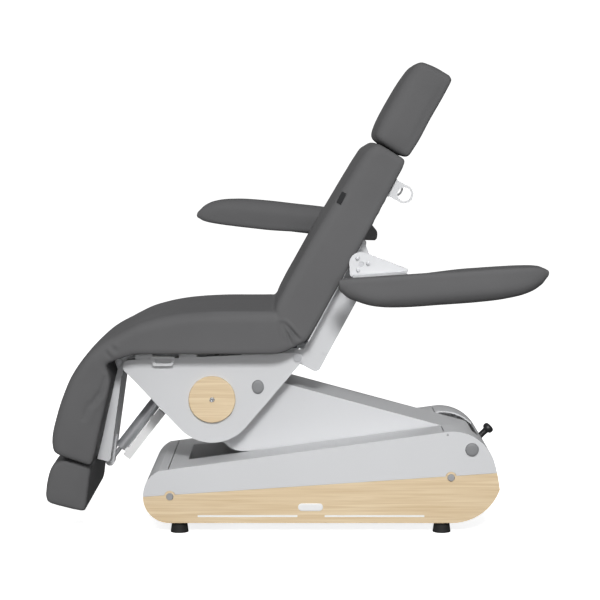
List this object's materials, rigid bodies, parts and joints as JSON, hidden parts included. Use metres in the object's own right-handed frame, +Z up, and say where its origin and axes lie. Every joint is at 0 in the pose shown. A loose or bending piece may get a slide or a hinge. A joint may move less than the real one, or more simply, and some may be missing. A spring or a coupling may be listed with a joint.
{
  "type": "treatment chair",
  "caption": "Powered treatment chair with a lift arm on a low wooden-sided base, reclining back, raising leg rest, sliding foot and head pads and turning armrests.",
  "frame": {"origin": "on the floor, under the centre of the whole chair's box", "axes": "+X from the foot end to the head end, +Y to the right of a seated person, +Z up"},
  "size_m": [1.3846, 0.902, 1.3086],
  "materials": {
    "upholstery": "matte",
    "light_paint": "satin",
    "birch": "satin lacquer",
    "board": "raw",
    "steel": "brushed",
    "bright_tube": "polished",
    "grey_cap": "matte",
    "white_plastic": "satin",
    "rubber": "matte",
    "black_plastic": "matte",
    "diffuser": "frosted",
    "bronze": "plain"
  },
  "bodies": {
    "base": {"base_frame": "light_paint", "side_panel_left": "birch", "side_panel_right": "birch", "side_skin_left": "light_paint", "side_skin_right": "light_paint", "nose_cover": "light_paint", "deck_cover": "light_paint", "rear_cover": "light_paint", "rubber_feet": "rubber", "foot_studs": "steel", "panel_standoffs": "steel", "light_strips": "diffuser", "base_pivot_caps": "grey_cap", "base_pins": "steel", "control_box": "black_plastic", "cord_peg": "black_plastic", "mains_inlet": "black_plastic"},
    "arm": {"arm_shell": "light_paint", "arm_bushes": "bronze"},
    "level_link": {"level_link": "light_paint"},
    "lift_tube": {"lift_motor": "black_plastic"},
    "lift_rod": {"lift_rod": "steel"},
    "seat": {"seat_plate_left": "light_paint", "seat_plate_right": "light_paint", "seat_crossbars": "light_paint", "seat_board": "board", "hub_shaft": "steel", "level_crank": "light_paint", "hub_discs": "birch", "hub_screws": "steel", "seat_caps": "grey_cap", "accessory_loops": "light_paint", "seat_hinge_pins": "steel", "seat_pad": "upholstery", "knee_pad": "upholstery"},
    "back": {"back_frame": "light_paint", "back_board": "light_paint", "back_pad": "upholstery", "head_guides": "steel", "paper_roll_brackets": "light_paint", "armrest_posts": "steel"},
    "back_tube": {"back_motor": "black_plastic"},
    "back_rod": {"back_rod": "steel"},
    "head": {"head_pad": "upholstery", "head_bars": "steel"},
    "leg": {"leg_frame": "light_paint", "leg_pad": "upholstery", "leg_clevis": "light_paint", "foot_guides": "steel"},
    "leg_tube": {"leg_motor": "bright_tube", "leg_trunk": "white_plastic"},
    "leg_rod": {"leg_rod": "steel"},
    "foot": {"foot_pad": "upholstery", "foot_bars": "steel"},
    "armrest_left": {"armrest_pad_left": "upholstery", "armrest_board_left": "board", "armrest_bracket_left": "light_paint"},
    "armrest_right": {"armrest_pad_right": "upholstery", "armrest_board_right": "board", "armrest_bracket_right": "light_paint"}
  },
  "joints": [
    {"name": "lift", "type": "hinge", "parent": "base", "child": "arm", "pos_m": [0.5005, 0, 0.239], "axis": [0, 1, 0], "range_deg": [0, 25]},
    {"name": "link_turn", "type": "hinge", "parent": "base", "child": "level_link", "pos_m": [0.5005, 0, 0.179], "axis": [0, 1, 0], "range_deg": [-0.5, 25.5]},
    {"name": "seat_level", "type": "hinge", "parent": "arm", "child": "seat", "pos_m": [-0.22809, 0, 0.37404], "axis": [0, 1, 0], "range_deg": [-25.5, 0.5]},
    {"name": "lift_tube_turn", "type": "hinge", "parent": "base", "child": "lift_tube", "pos_m": [-0.14, 0, 0.092], "axis": [0, 1, 0], "range_deg": [-10.5, 0.5]},
    {"name": "lift_rod_turn", "type": "hinge", "parent": "arm", "child": "lift_rod", "pos_m": [0.17603, 0, 0.29914], "axis": [0, 1, 0], "range_deg": [-36, 0.5]},
    {"name": "back_recline", "type": "hinge", "parent": "seat", "child": "back", "pos_m": [0.01241, 0, 0.49204], "axis": [0, 1, 0], "range_deg": [0, 62]},
    {"name": "back_tube_turn", "type": "hinge", "parent": "seat", "child": "back_tube", "pos_m": [-0.22959, 0, 0.47004], "axis": [0, 1, 0], "range_deg": [-0.5, 13]},
    {"name": "back_rod_turn", "type": "hinge", "parent": "back", "child": "back_rod", "pos_m": [0.07923, 0, 0.4983], "axis": [0, 1, 0], "range_deg": [-50, 0.5]},
    {"name": "head_slide", "type": "slide", "parent": "back", "child": "head", "axis": [0.471, 0, 0.8821], "range_m": [0, 0.1]},
    {"name": "leg_raise", "type": "hinge", "parent": "seat", "child": "leg", "pos_m": [-0.49659, 0, 0.47004], "axis": [0, 1, 0], "range_deg": [0, 75], "deforming": ["knee_pad"]},
    {"name": "leg_tube_turn", "type": "hinge", "parent": "seat", "child": "leg_tube", "pos_m": [-0.35489, 0, 0.39704], "axis": [0, 1, 0], "range_deg": [-0.5, 58]},
    {"name": "leg_rod_turn", "type": "hinge", "parent": "leg", "child": "leg_rod", "pos_m": [-0.53619, 0, 0.16385], "axis": [0, 1, 0], "range_deg": [-18, 0.5]},
    {"name": "foot_slide", "type": "slide", "parent": "leg", "child": "foot", "axis": [-0.2588, 0, -0.9659], "range_m": [0, 0.06]},
    {"name": "armrest_left_turn", "type": "hinge", "parent": "back", "child": "armrest_left", "pos_m": [0.18739, 0, 0.76306], "axis": [0, 1, 0], "range_deg": [-170, 0]},
    {"name": "armrest_right_turn", "type": "hinge", "parent": "back", "child": "armrest_right", "pos_m": [0.18739, 0, 0.76306], "axis": [0, 1, 0], "range_deg": [0, 170]}
  ],
  "couplings": [
    {"joint": "link_turn", "follows": "lift", "ratio": 1},
    {"joint": "seat_level", "follows": "lift", "ratio": -1},
    {"joint": "lift_tube_turn", "follows": "lift", "ratio": -0.401},
    {"joint": "lift_rod_turn", "follows": "lift", "ratio": -1.401},
    {"joint": "back_tube_turn", "follows": "back_recline", "ratio": 0.202},
    {"joint": "back_rod_turn", "follows": "back_recline", "ratio": -0.798},
    {"joint": "leg_tube_turn", "follows": "leg_raise", "ratio": 0.766},
    {"joint": "leg_rod_turn", "follows": "leg_raise", "ratio": -0.234}
  ]
}
